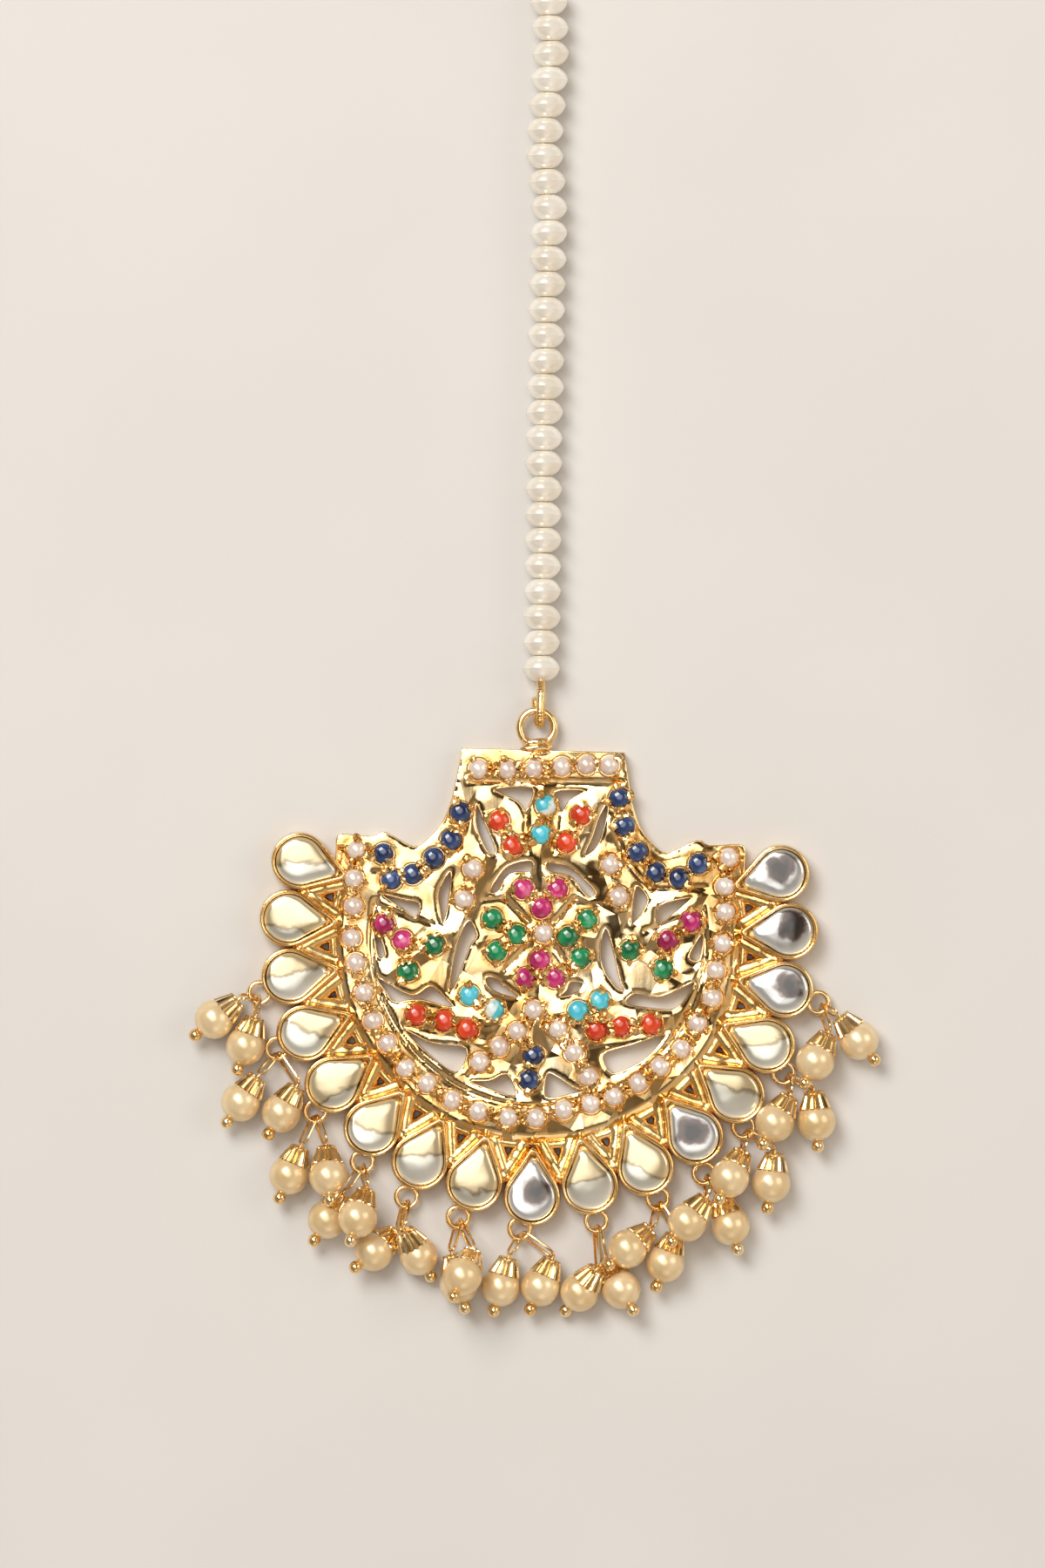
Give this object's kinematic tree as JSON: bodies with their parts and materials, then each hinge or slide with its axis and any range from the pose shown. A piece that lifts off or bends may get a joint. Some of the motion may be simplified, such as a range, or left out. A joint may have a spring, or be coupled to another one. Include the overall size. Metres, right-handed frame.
{
  "type": "maang tikka",
  "caption": "Forehead ornament: a pierced gold plate in a fan of teardrop stones, with paired pearl drops and a string of rondelle pearls that ends in a hair hook.",
  "frame": {"origin": "middle of the plate's flat back, under its central flower", "axes": "+Y along the bead string, away from the drops; +Z out of the stone-set face, so the back of the plate lies on z = 0"},
  "size_m": [0.0698, 0.1465, 0.0079],
  "materials": {
    "gold_plate": "gold plated, polished, with fine scored lines",
    "kundan_crystal": "clear foil-backed stone with a polished bevel",
    "champagne_pearl": "champagne pearl, satin lustre",
    "ivory_pearl": "ivory pearl, satin lustre"
  },
  "bodies": {
    "root": {"setting_frame": "gold_plate", "kundan_stone_01": "kundan_crystal", "kundan_stone_02": "kundan_crystal", "kundan_stone_03": "kundan_crystal", "kundan_stone_04": "kundan_crystal", "kundan_stone_05": "kundan_crystal", "kundan_stone_06": "kundan_crystal", "kundan_stone_07": "kundan_crystal", "kundan_stone_08": "kundan_crystal", "kundan_stone_09": "kundan_crystal", "kundan_stone_10": "kundan_crystal", "kundan_stone_11": "kundan_crystal", "kundan_stone_12": "kundan_crystal", "kundan_stone_13": "kundan_crystal", "kundan_stone_14": "kundan_crystal", "kundan_stone_15": "kundan_crystal", "kundan_stone_16": "kundan_crystal", "kundan_stone_17": "kundan_crystal", "drop_pearl_01": "champagne_pearl", "drop_pearl_02": "champagne_pearl", "drop_pearl_03": "champagne_pearl", "drop_pearl_04": "champagne_pearl", "drop_pearl_05": "champagne_pearl", "drop_pearl_06": "champagne_pearl", "drop_pearl_07": "champagne_pearl", "drop_pearl_08": "champagne_pearl", "drop_pearl_09": "champagne_pearl", "drop_pearl_10": "champagne_pearl", "drop_pearl_11": "champagne_pearl", "drop_pearl_12": "champagne_pearl", "drop_pearl_13": "champagne_pearl", "drop_pearl_14": "champagne_pearl", "drop_pearl_15": "champagne_pearl", "drop_pearl_16": "champagne_pearl", "drop_pearl_17": "champagne_pearl", "drop_pearl_18": "champagne_pearl", "drop_pearl_19": "champagne_pearl", "drop_pearl_20": "champagne_pearl", "drop_pearl_21": "champagne_pearl", "drop_pearl_22": "champagne_pearl", "drop_pearl_23": "champagne_pearl", "drop_pearl_24": "champagne_pearl", "drop_pearl_25": "champagne_pearl", "drop_pearl_26": "champagne_pearl", "drop_wires_01": "gold_plate", "drop_wires_02": "gold_plate", "drop_wires_03": "gold_plate", "drop_wires_04": "gold_plate", "drop_wires_05": "gold_plate", "drop_wires_06": "gold_plate", "drop_wires_07": "gold_plate", "drop_wires_08": "gold_plate", "drop_wires_09": "gold_plate", "drop_wires_10": "gold_plate", "drop_wires_11": "gold_plate", "drop_wires_12": "gold_plate", "drop_wires_13": "gold_plate", "bead_string": "ivory_pearl", "link_wire": "gold_plate", "hair_hook": "gold_plate"}
  },
  "joints": []
}
